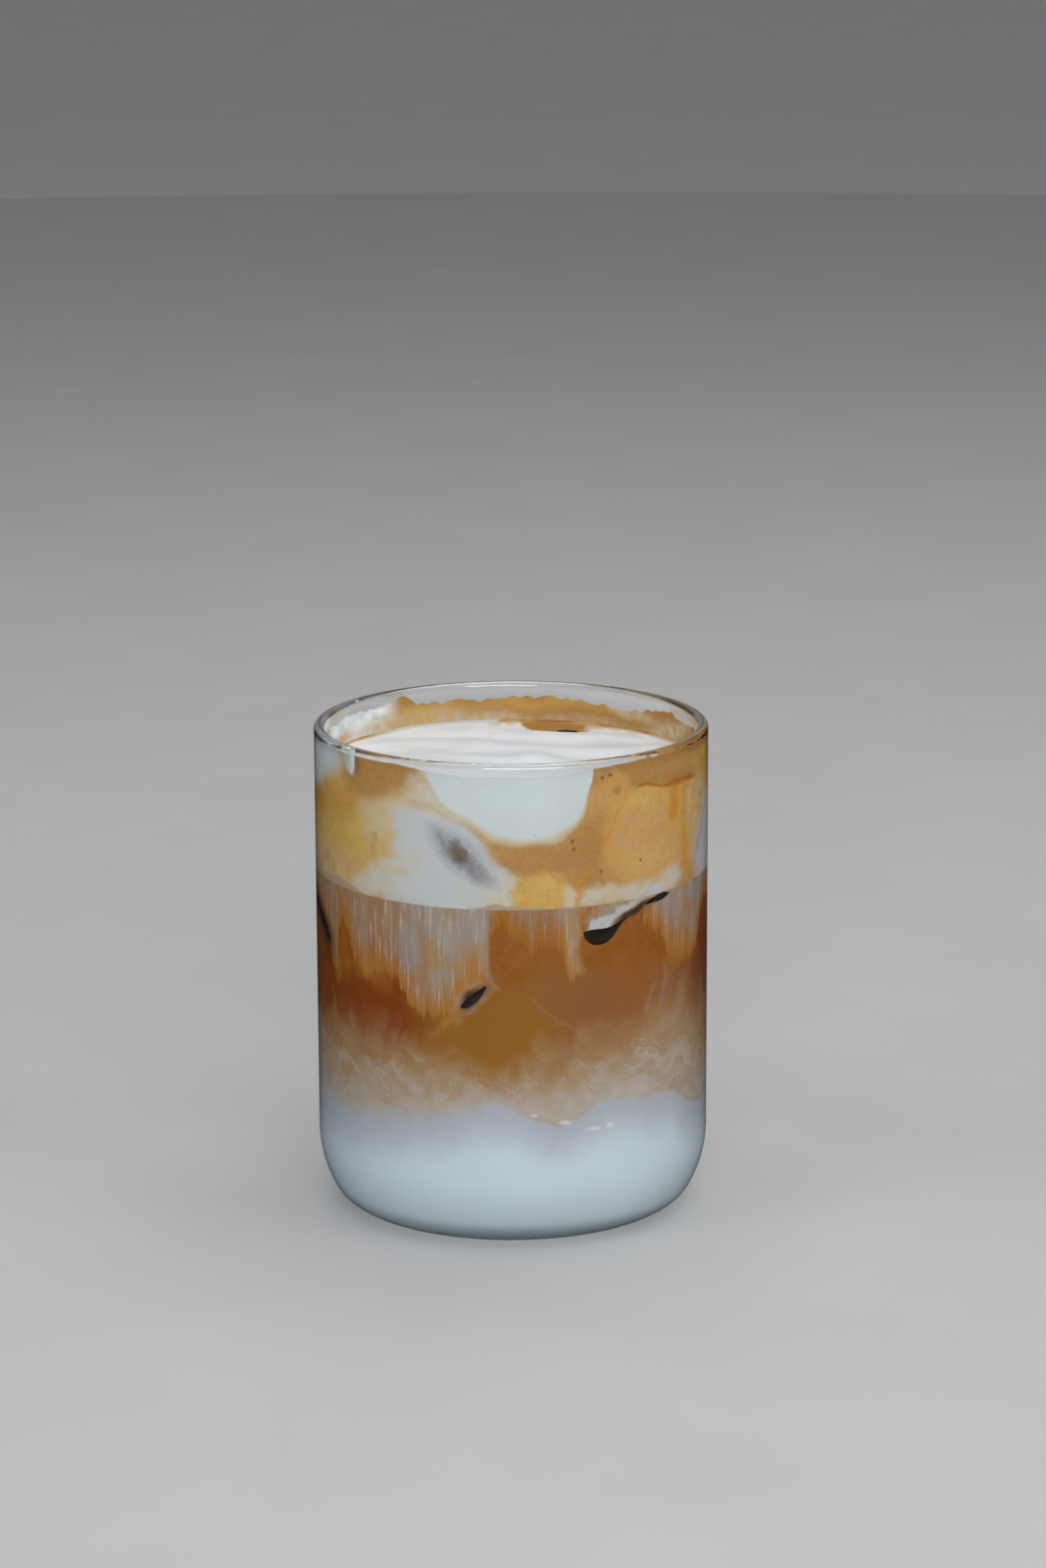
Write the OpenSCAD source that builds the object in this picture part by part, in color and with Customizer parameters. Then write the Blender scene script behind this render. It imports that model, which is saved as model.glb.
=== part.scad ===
// Iced layered latte in a straight clear tumbler.
// Millimetres, +Z up. The origin is the centre of the base, on the table; -Y is the front.
// The glass is one turned shape. Milk, coffee and foam fill its cavity one above the other,
// each running right through from wall to wall.

/* [Glass] */
// Outside diameter
glass_d = 80; // [72:1:96]
// Height, base to rim
glass_h = 100; // [96:1:120]
// Thickness of the wall, rounded over at the rim
wall_t = 2.2; // [1.8:0.1:3]
// Thickness of the base
base_t = 3; // [2:0.5:5]
// How far the bottom corner reaches in from the side
corner_w = 9.5; // [9:0.5:12]
// Height at which the side begins to turn under
corner_h = 15.5; // [14:0.5:18]
// Radius of the tight curve next to the base
heel_r = 7.5; // [6.5:0.5:8]

/* [Layers] */
// Mean height of the boundary between milk and coffee
milk_level = 26; // [22:1:32]
// Swell of that boundary, up and down
milk_swell = 4; // [0:0.5:5]
// Length of one swell
milk_wave = 52; // [40:1:70]
// Height of the underside of the foam
coffee_level = 70.5; // [60:0.5:78]
// Height of the foam surface
foam_level = 91; // [84:0.5:92]

/* [Foam surface] */
// Depth of the folds in the foam, up and down
fold_depth = 0.45; // [0:0.05:0.8]
// Distance from one fold to the next
fold_pitch = 13; // [10:1:20]
// How far the folds wander from straight
fold_bend = 4; // [0:0.5:6]
// Height of the small peak in the foam
peak_h = 1.2; // [0:0.1:2]
// Spread of the small peak
peak_w = 5; // [4:0.5:8]
// Place of the small peak, right of the centre and behind it
peak_at = [5, 6];
// Rise of the foam where it wets the wall
meniscus_h = 1.2; // [0:0.1:2]
// Distance over which that rise fades
meniscus_w = 2.4; // [1.5:0.1:4]

/* [Hidden] */
$fn = 96;

glass_r = glass_d / 2;
rim_r = wall_t / 2;
cavity_r = glass_r - wall_t;
cavity_corner = [corner_w - wall_t, corner_h - base_t, heel_r - wall_t];

// The layers are closed skins of rings, with this many points to a ring.
sectors = 72;
arc_steps = 5;
milk_rings = 7;
fold_rings = 11;
wet_rings = 3;

// A bottom corner is [width, height, tight radius]: a wide arc that leaves the side upright runs
// on into a tight arc that ends flat on the base. This is the wide arc's radius.
function wide_radius(corner) = let (w = corner[0], up = corner[1], tight = corner[2])
    (w * w + pow(up - tight, 2) - tight * tight) / (2 * (w - tight));
function wide_centre(r, corner) = [r - wide_radius(corner), corner[1]];
function tight_centre(r, corner) = [r - corner[0], corner[2]];
function join_angle(r, corner) = let (d = tight_centre(r, corner) - wide_centre(r, corner))
    atan2(d.y, d.x);
function arc_points(centre, radius, from, to) =
    [for (i = [0:arc_steps]) let (a = from + (to - from) * i / arc_steps)
        centre + radius * [cos(a), sin(a)]];

// Points along that corner, [distance from the axis, height], from the base up to the side.
function corner_path(r, corner) = let (join = join_angle(r, corner))
    concat(arc_points(tight_centre(r, corner), corner[2], -90, join),
           [for (i = [1:arc_steps]) arc_points(wide_centre(r, corner), wide_radius(corner), join, 0)[i]]);

// Height of the boundary between milk and coffee: higher in front, with one long swell across it.
function milk_top(x, y) =
    milk_level + milk_swell * (0.55 * sin(360 * (x + 3) / milk_wave) * cos(200 * y / milk_wave)
                               - 0.45 * y / cavity_r);

// Height of the foam: long soft folds from side to side, one small peak, and a wet edge.
function fold(x, y) = fold_depth * sin(360 * (y + fold_bend * sin(180 * x / cavity_r)) / fold_pitch);
function peak(x, y) = peak_h * exp(-(pow(x - peak_at.x, 2) + pow(y - peak_at.y, 2)) / pow(peak_w, 2));
function calm(r) = min(1, (cavity_r - r) / (2 * meniscus_w));
function wet_edge(r) = meniscus_h * pow(max(0, r - cavity_r + meniscus_w) / meniscus_w, 2);
function foam_top(x, y) = let (r = norm([x, y]))
    foam_level + calm(r) * (fold(x, y) + peak(x, y)) + wet_edge(r);

// One ring of points at distance r from the axis, at the height that a function of x and y gives.
function ring(r, height) = [for (k = [0:sectors - 1])
    let (a = 360 * k / sectors, x = r * cos(a), y = r * sin(a)) [x, y, height(x, y)]];
function level_ring(r, z) = ring(r, function (x, y) z);

// Two triangles over four corners, cut across the flatter diagonal, so that a surface that two
// layers share is cut the same way in both.
function split(points, a, b, c, d) =
    abs(points[a].z - points[c].z) <= abs(points[b].z - points[d].z)
        ? [[a, b, c], [a, c, d]] : [[a, b, d], [b, c, d]];

// Closed skin over rings that run from the low centre outwards, up, and back to the high centre.
module skin(low, rings, high) {
    n = len(rings);
    points = concat([for (row = rings) each row], [low, high]);
    low_fan = [for (k = [0:sectors - 1]) [n * sectors, k, (k + 1) % sectors]];
    high_fan = [for (k = [0:sectors - 1])
        [n * sectors + 1, (n - 1) * sectors + (k + 1) % sectors, (n - 1) * sectors + k]];
    sides = [for (i = [0:n - 2], k = [0:sectors - 1])
        let (j = (k + 1) % sectors, here = i * sectors, next = here + sectors)
        each split(points, here + k, next + k, next + j, here + j)];
    polyhedron(points, concat(low_fan, sides, high_fan));
}

// Half outline of a round body of radius r and height h, with that bottom corner.
module round_body(r, h, corner) {
    wide = wide_radius(corner);
    join = join_angle(r, corner);
    square([r - corner[0], h]);
    translate([0, corner[1]]) square([r, h - corner[1]]);
    intersection() {
        translate(wide_centre(r, corner)) circle(wide);
        translate(wide_centre(r, corner))
            polygon([[0, 0], 2 * wide * [cos(join), sin(join)], [2 * wide * cos(join), 0]]);
        square([r, corner[1]]);
    }
    translate(tight_centre(r, corner)) circle(corner[2]);
}

module glass() {
    color([0.86, 0.92, 0.94, 0.35]) rotate_extrude() difference() {
        union() {
            round_body(glass_r, glass_h - rim_r, [corner_w, corner_h, heel_r]);
            translate([glass_r - rim_r, glass_h - rim_r]) circle(rim_r);
        }
        translate([0, base_t]) round_body(cavity_r, glass_h, cavity_corner);
    }
}

module milk() {
    wall = [for (p = corner_path(cavity_r, cavity_corner)) level_ring(p.x, base_t + p.y)];
    top = [for (i = [0:milk_rings - 1])
        ring(cavity_r * (1 - i / milk_rings), function (x, y) milk_top(x, y))];
    color([0.68, 0.73, 0.77]) skin([0, 0, base_t], concat(wall, top), [0, 0, milk_top(0, 0)]);
}

module coffee() {
    underside = [for (i = [1:milk_rings])
        ring(cavity_r * i / milk_rings, function (x, y) milk_top(x, y))];
    top = [level_ring(cavity_r, coffee_level)];
    color([0.50, 0.30, 0.13])
        skin([0, 0, milk_top(0, 0)], concat(underside, top), [0, 0, coffee_level]);
}

module foam() {
    wet = [for (i = [0:wet_rings - 1]) cavity_r - meniscus_w * i / wet_rings];
    folds = [for (i = [0:fold_rings - 1]) (cavity_r - meniscus_w) * (1 - i / fold_rings)];
    top = [for (r = concat(wet, folds)) ring(r, function (x, y) foam_top(x, y))];
    color([0.88, 0.86, 0.83]) skin([0, 0, coffee_level],
        concat([level_ring(cavity_r, coffee_level)], top), [0, 0, foam_top(0, 0)]);
}

glass();
milk();
coffee();
foam();
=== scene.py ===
"""The looks of an iced layered latte in a straight clear tumbler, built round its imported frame.

Milk, coffee and foam fill the glass one above the other. Each layer is a closed mesh that reaches
just into the glass wall. Its colours are worked out on the wall as arc length across, measured
to the right of the front, and height, both in millimetres.
"""

import enum
import logging
import math
from collections.abc import Callable, Sequence
from dataclasses import dataclass, field
from typing import ClassVar

import bpy
import numpy as np
from mathutils import Matrix, Vector


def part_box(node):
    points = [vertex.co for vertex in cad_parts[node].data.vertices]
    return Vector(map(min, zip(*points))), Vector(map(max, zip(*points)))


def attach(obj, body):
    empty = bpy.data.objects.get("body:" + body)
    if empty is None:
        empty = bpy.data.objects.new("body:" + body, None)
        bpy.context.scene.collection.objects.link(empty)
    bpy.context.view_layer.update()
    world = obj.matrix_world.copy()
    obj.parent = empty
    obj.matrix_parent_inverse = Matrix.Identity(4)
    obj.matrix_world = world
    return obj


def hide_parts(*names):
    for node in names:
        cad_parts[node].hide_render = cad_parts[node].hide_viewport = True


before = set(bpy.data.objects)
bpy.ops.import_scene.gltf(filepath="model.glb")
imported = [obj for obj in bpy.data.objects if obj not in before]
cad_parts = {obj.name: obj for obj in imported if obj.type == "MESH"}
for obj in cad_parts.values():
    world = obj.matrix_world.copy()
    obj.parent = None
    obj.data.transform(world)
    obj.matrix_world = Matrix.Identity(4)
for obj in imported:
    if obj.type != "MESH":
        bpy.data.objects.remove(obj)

LOG = logging.getLogger("latte")
MM = 0.001
ROOT = "root"
SHARP_EDGE = 38.0

Number = float | int
Point = tuple[float, float]
Rings = list[np.ndarray]
Socket = bpy.types.NodeSocket


class Tone(enum.Enum):
    """Colours of the drink in good light, as sRGB from 0 to 255."""

    FOAM_WHITE = (208, 220, 225)
    TOP_WHITE = (246, 248, 250)
    CREAM = (208, 196, 165)
    COOL_CREAM = (204, 206, 204)
    HALO = (196, 205, 214)
    SAND = (210, 187, 140)
    HONEY = (218, 180, 96)
    HONEY_TAN = (202, 158, 87)
    GOLD = (202, 168, 92)
    TAN = (195, 154, 93)
    ROSE_TAN = (196, 150, 96)
    CARAMEL = (179, 134, 72)
    TOFFEE = (178, 132, 66)
    OCHRE = (204, 155, 64)
    ORANGE = (210, 142, 30)
    RUST = (172, 98, 14)
    BUBBLE = (96, 66, 44)
    LILAC_FOAM = (204, 200, 214)
    # ICE_GREY, ICE_CORE, ICE_SHADE and ICE_DARK are painted shade: clear ice against the glass shows the dim inside of
    # the drink.
    ICE_GREY = (156, 162, 172)
    ICE_CORE = (112, 102, 94)
    ICE_SHADE = (66, 44, 34)
    ICE_DARK = (28, 17, 13)
    FROST = (188, 190, 190)
    AMBER = (153, 105, 38)
    COPPER = (148, 90, 24)
    BROWN = (160, 100, 46)
    MAUVE = (148, 99, 56)
    RED_BROWN = (134, 66, 12)
    DARK_BROWN = (136, 82, 38)
    PLUM = (134, 74, 42)
    VEIL = (165, 158, 153)
    WARM_VEIL = (172, 143, 108)
    VEIL_GOLD = (180, 124, 52)
    CLOUD_TAN = (168, 137, 98)
    CLOUD_PALE = (178, 160, 138)
    CLOUD_GREY = (186, 178, 170)
    WISP = (202, 195, 188)
    LILAC_MILK = (181, 187, 198)
    MILK = (208, 222, 232)

    def linear(self) -> tuple[float, float, float, float]:
        """The colour as linear RGBA."""
        parts = [c / 255 for c in self.value]
        rgb = [c / 12.92 if c <= 0.04045 else ((c + 0.055) / 1.055) ** 2.4 for c in parts]
        return (rgb[0], rgb[1], rgb[2], 1.0)


class Value:
    """A number in a node tree. Python's operators on it add Math nodes."""

    def __init__(self, tree: "Tree", socket: bpy.types.NodeSocket) -> None:
        """Wraps an output socket.

        Args:
            tree: the tree that the socket is in.
            socket: the output that carries the number.
        """
        self.tree = tree
        self.socket = socket

    def __add__(self, other: "Value | Number") -> "Value":
        """The sum."""
        return self.tree.math("ADD", self, other)

    __radd__ = __add__

    def __sub__(self, other: "Value | Number") -> "Value":
        """The difference."""
        return self.tree.math("SUBTRACT", self, other)

    def __rsub__(self, other: "Value | Number") -> "Value":
        """The difference, taken from a number."""
        return self.tree.math("SUBTRACT", other, self)

    def __mul__(self, other: "Value | Number") -> "Value":
        """The product."""
        return self.tree.math("MULTIPLY", self, other)

    __rmul__ = __mul__

    def __truediv__(self, other: "Value | Number") -> "Value":
        """The quotient."""
        return self.tree.math("DIVIDE", self, other)

    def __rtruediv__(self, other: "Value | Number") -> "Value":
        """The quotient of a number by this."""
        return self.tree.math("DIVIDE", other, self)

    def __pow__(self, other: "Value | Number") -> "Value":
        """The power."""
        return self.tree.math("POWER", self, other)

    def __abs__(self) -> "Value":
        """The size without its sign."""
        return self.tree.math("ABSOLUTE", self)

    def ease(self, start: Number, end: Number) -> "Value":
        """Goes smoothly from 0 at start to 1 at end.

        Args:
            start: the number that gives 0.
            end: the number that gives 1, above or below start.

        Returns:
            The eased number, from 0 to 1.
        """
        ends = {"Value": self, "From Min": start, "From Max": end, "To Min": 0.0, "To Max": 1.0}
        node = self.tree.add("ShaderNodeMapRange", {"interpolation_type": "SMOOTHSTEP"}, ends)
        return Value(self.tree, node.outputs["Result"])


class Tree:
    """The node tree of one material, and the ways to add to it."""

    def __init__(self, name: str) -> None:
        """Makes an empty material.

        Args:
            name: the material's name.
        """
        self.material = bpy.data.materials.new(name)
        self.material.use_nodes = True
        self.nodes = self.material.node_tree.nodes
        self.links = self.material.node_tree.links
        self.nodes.clear()

    def add(
        self,
        kind: str,
        settings: dict[str, object] | None = None,
        sockets: dict[str | int, object] | None = None,
    ) -> bpy.types.Node:
        """Adds a node, with its settings first and then its sockets.

        Args:
            kind: the node's type.
            settings: its properties; "stops" gives a ramp's or a curve's points.
            sockets: values, or links, by socket name or number.

        Returns:
            The new node.
        """
        node = self.nodes.new(kind)
        for key, value in (settings or {}).items():
            if key == "stops":
                self._place_stops(node, value)
            else:
                setattr(node, key, value)
        for key, value in (sockets or {}).items():
            if isinstance(value, Value):
                self.links.new(value.socket, node.inputs[key])
            elif isinstance(value, bpy.types.NodeSocket):
                self.links.new(value, node.inputs[key])
            elif isinstance(value, Tone):
                node.inputs[key].default_value = value.linear()
            else:
                node.inputs[key].default_value = value
        return node

    @staticmethod
    def _place_stops(node: bpy.types.Node, stops: Sequence[tuple[float, object]]) -> None:
        """Sets a ramp's colours or a curve's points.

        Args:
            node: a Color Ramp or a Float Curve.
            stops: pairs of place and Tone for a ramp, or of place and height for a curve.
        """
        if node.bl_idname == "ShaderNodeValToRGB":
            elements = node.color_ramp.elements
            while len(elements) < len(stops):
                elements.new(1.0)
            for element, (place, tone) in zip(elements, stops):
                element.position = place
                element.color = tone.linear()
            return
        points = node.mapping.curves[0].points
        while len(points) < len(stops):
            points.new(1.0, 0.0)
        for point, (place, height) in zip(points, stops):
            point.location = (place, height)
        node.mapping.update()

    def math(self, operation: str, *numbers: Value | Number) -> Value:
        """Adds a Math node.

        Args:
            operation: the node's operation.
            numbers: its inputs in order.

        Returns:
            Its result.
        """
        node = self.add("ShaderNodeMath", {"operation": operation}, dict(enumerate(numbers)))
        return Value(self, node.outputs[0])

    def mix(self, share: Value | Number, under: object, over: object) -> bpy.types.NodeSocket:
        """Lays one colour over another.

        Args:
            share: how much of the upper colour shows, from 0 to 1.
            under: the lower colour, a Tone or a socket.
            over: the upper colour, a Tone or a socket.

        Returns:
            The mixed colour.
        """
        sockets = {"Factor": share, 6: under, 7: over}
        node = self.add("ShaderNodeMix", {"data_type": "RGBA", "clamp_factor": True}, sockets)
        return node.outputs[2]

    def vector(self, operation: str, *parts: object) -> bpy.types.Node:
        """Adds a Vector Math node and gives it back."""
        return self.add("ShaderNodeVectorMath", {"operation": operation}, dict(enumerate(parts)))

    def scaled(self, place: Socket, times: tuple[float, float, float]) -> Socket:
        """A place multiplied along each axis."""
        return self.vector("MULTIPLY", place, times).outputs[0]

    def parts(self, vector: Socket) -> list[Value]:
        """The three numbers of a vector or a colour."""
        return [Value(self, out) for out in self.add("ShaderNodeSeparateXYZ", None, {0: vector}).outputs]

    def noise(self, place: bpy.types.NodeSocket, size: float, detail: float = 2.0, twist: float = 0.0,
              rough: float = 0.5) -> bpy.types.Node:
        """Adds a Noise texture.

        Args:
            place: where to read it, in millimetres.
            size: how far apart its blots are, in millimetres.
            detail: how many finer layers it has.
            twist: how much it is distorted.
            rough: the share of the finer layers.

        Returns:
            The node, whose outputs are Fac and Color.
        """
        sockets = {"Vector": place, "Scale": 1 / size, "Detail": detail, "Roughness": rough,
                   "Distortion": twist}
        return self.add("ShaderNodeTexNoise", None, sockets)

    def cloud(self, place: bpy.types.NodeSocket, size: float, detail: float = 2.0, twist: float = 0.0,
              rough: float = 0.5) -> Value:
        """The Noise texture's number, about 0.3 to 0.7."""
        return Value(self, self.noise(place, size, detail, twist, rough).outputs["Fac"])

    def surface(self, sockets: dict[str | int, object]) -> bpy.types.Node:
        """Adds the Principled shader and the output.

        Args:
            sockets: the shader's values and links.

        Returns:
            The shader node.
        """
        shader = self.add("ShaderNodeBsdfPrincipled", None, sockets)
        self.add("ShaderNodeOutputMaterial", None, {"Surface": shader.outputs[0]})
        return shader


@dataclass(frozen=True)
class Patch:
    """A soft-edged oval of colour on the wall: centre, half sizes in mm, tilt in degrees.

    Where it has a second tone, that drifts through the first in clouds.
    """

    at: Point
    half: Point
    tone: Tone
    other: Tone | None = None
    tilt: float = 0.0
    soft: float = 0.4
    strength: float = 1.0
    ragged: bool = False
    grain: float = 4.0
    cracks: bool = False


@dataclass(frozen=True)
class Vein:
    """A thin line of colour through points on the wall, all in mm.

    A vein that climbs runs up the wall, so that its place across follows its height.
    """

    path: tuple[Point, ...]
    width: float
    tone: Tone
    strength: float = 1.0
    climbs: bool = False
    blur: float = 1.0
    ragged: bool = True


@dataclass(frozen=True)
class Shore:
    """Colour above a line through points on the wall, or below it, all in mm."""

    path: tuple[Point, ...]
    tone: Tone
    soft: float = 0.6
    strength: float = 1.0
    below: bool = False
    lift: float = 0.0
    ragged: bool = False


Mark = Patch | Vein | Shore


class Wall:
    """Places on the drink's side, in mm, and the ways to lay colour on them."""

    HALF_SPAN = 60.0
    TALL = 100.0
    PULL = (56.0, 10.0)
    CARRY = 13.0

    def __init__(self, tree: Tree, radius: float, pulled: bool = True) -> None:
        """Works out across and up from the object's own coordinates.

        The pattern of the front half runs on round the back, where it is pulled well out of
        shape, so that it meets at both sides and doesn't repeat.

        Args:
            tree: the material's tree.
            radius: the drink's radius, in mm.
            pulled: whether the back is pulled out of shape.
        """
        self.tree = tree
        local = tree.add("ShaderNodeTexCoord").outputs["Object"]
        self.place = tree.scaled(local, (1 / MM, 1 / MM, 1 / MM))
        self.x, self.y, z = tree.parts(self.place)
        self.from_axis = (self.x * self.x + self.y * self.y) ** 0.5
        turn = tree.math("ARCSINE", self.x / tree.math("MAXIMUM", self.from_axis, 1.0))
        self.across, self.up = turn * radius, z
        if pulled:
            behind = self.y.ease(-3.0, 16.0)
            pulls = tree.parts(tree.noise(self.place, 21.0, 1.0).outputs[1])
            self.across = self.across + behind * ((pulls[0] - 0.5) * self.PULL[0] + self.CARRY)
            self.up = self.up + behind * (pulls[1] - 0.5) * self.PULL[1]
        flat = tree.add("ShaderNodeCombineXYZ", None, {0: self.across, 1: self.up}).outputs[0]
        self.calm = self._wander(flat, 11.0, 2.2, 1.0)
        self.ragged = self._wander(self.calm, 2.4, 1.5, 3.0)
        self.calm_across, self.calm_up, _ = tree.parts(self.calm)
        self.ragged_across, self.ragged_up, _ = tree.parts(self.ragged)
        self.drifts: dict[float, Value] = {}
        self.cracks = (1 - abs(tree.cloud(self.place, 5.0, 4.0, 1.4, 0.6) - 0.5) * 2) ** 22.0

    def _wander(self, place: Socket, size: float, reach: float, detail: float) -> Socket:
        """Moves a flat place by noise.

        Args:
            place: the flat place.
            size: how far apart the noise's blots are, in mm.
            reach: how far it moves at most, in mm.
            detail: the noise's detail.

        Returns:
            The moved place.
        """
        tree = self.tree
        blots = tree.noise(self.place, size, detail).outputs[1]
        centred = tree.vector("SUBTRACT", blots, (0.5, 0.5, 0.5)).outputs[0]
        shift = tree.scaled(centred, (2 * reach, 2 * reach, 0.0))
        return tree.vector("ADD", place, shift).outputs[0]

    def drift(self, grain: float) -> Value:
        """Clouds from 0 to 1, made once for each size of blot in mm."""
        if grain not in self.drifts:
            self.drifts[grain] = self.tree.cloud(self.place, grain, 4.0, 0.8, 0.6).ease(0.34, 0.7)
        return self.drifts[grain]

    def curve(self, points: Sequence[Point], along: Value, climbs: bool = False) -> Value:
        """A line through points on the wall.

        Args:
            points: places across and up, in mm.
            along: the number that the line is read at.
            climbs: whether the line gives the place across for a height, and not the height.

        Returns:
            The line's height, or its place across.
        """
        span = 2 * self.HALF_SPAN
        stops = [((s + self.HALF_SPAN) / span, z / self.TALL) for s, z in points]
        read = along / self.TALL if climbs else (along + self.HALF_SPAN) / span
        if climbs:
            stops = [(up, across) for across, up in stops]
        node = self.tree.add("ShaderNodeFloatCurve", {"stops": sorted(stops)}, {"Value": read})
        line = Value(self.tree, node.outputs[0])
        return line * span - self.HALF_SPAN if climbs else line * self.TALL

    def patch(self, under: object, patch: Patch) -> Socket:
        """Lays an oval over a colour.

        Args:
            under: the colour below.
            patch: the oval.

        Returns:
            The colour with the oval on it.
        """
        tree = self.tree
        sockets = {"Vector": self.ragged if patch.ragged else self.calm,
                   "Location": (patch.at[0], patch.at[1], 0.0),
                   "Rotation": (0.0, 0.0, math.radians(patch.tilt)),
                   "Scale": (patch.half[0], patch.half[1], 1.0)}
        oval = tree.add("ShaderNodeMapping", {"vector_type": "TEXTURE"}, sockets)
        reach = Value(tree, tree.vector("LENGTH", oval.outputs[0]).outputs["Value"])
        inside = reach.ease(1 + patch.soft, 1 - patch.soft)
        share = inside if patch.strength == 1.0 else inside * patch.strength
        share = share * self.cracks if patch.cracks else share
        colour = tree.mix(share, under, patch.tone)
        return colour if patch.other is None else tree.mix(share * self.drift(patch.grain), colour, patch.other)

    def vein(self, under: object, vein: Vein) -> Socket:
        """Lays a thin line over a colour.

        Args:
            under: the colour below.
            vein: the line.

        Returns:
            The colour with the line on it.
        """
        calm = (self.calm_across, self.calm_up)
        across, up = (self.ragged_across, self.ragged_up) if vein.ragged else calm
        along, other = (up, across) if vein.climbs else (across, up)
        off = abs(other - self.curve(vein.path, along, vein.climbs))
        ends = [p[1] if vein.climbs else p[0] for p in vein.path]
        low, high, fade = min(ends), max(ends), 1.2
        inside = along.ease(low - fade, low + fade) * along.ease(high + fade, high - fade)
        share = off.ease(vein.width * (1 + vein.blur) / 2, vein.width * (1 - vein.blur) / 2)
        if vein.ragged:
            share = share * (self.drift(4.0) * 0.8 + 0.45)
        return self.tree.mix(share * inside * vein.strength, under, vein.tone)

    def shore(self, under: object, shore: Shore) -> Socket:
        """Lays colour over all that is above a line, or below it.

        Args:
            under: the colour below.
            shore: the line.

        Returns:
            The colour with the new one on it.
        """
        up = self.ragged_up if shore.ragged else self.calm_up
        depth = up - self.curve(shore.path, self.calm_across) - shore.lift
        side = -1 if shore.below else 1
        share = depth.ease(-side * shore.soft, side * shore.soft)
        return self.tree.mix(share * shore.strength, under, shore.tone)

    def lay(self, under: object, marks: Sequence[Mark]) -> Socket:
        """Lays patches, veins and shores over a colour in order."""
        ways = {Patch: self.patch, Vein: self.vein, Shore: self.shore}
        for mark in marks:
            under = ways[type(mark)](under, mark)
        return under


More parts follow.
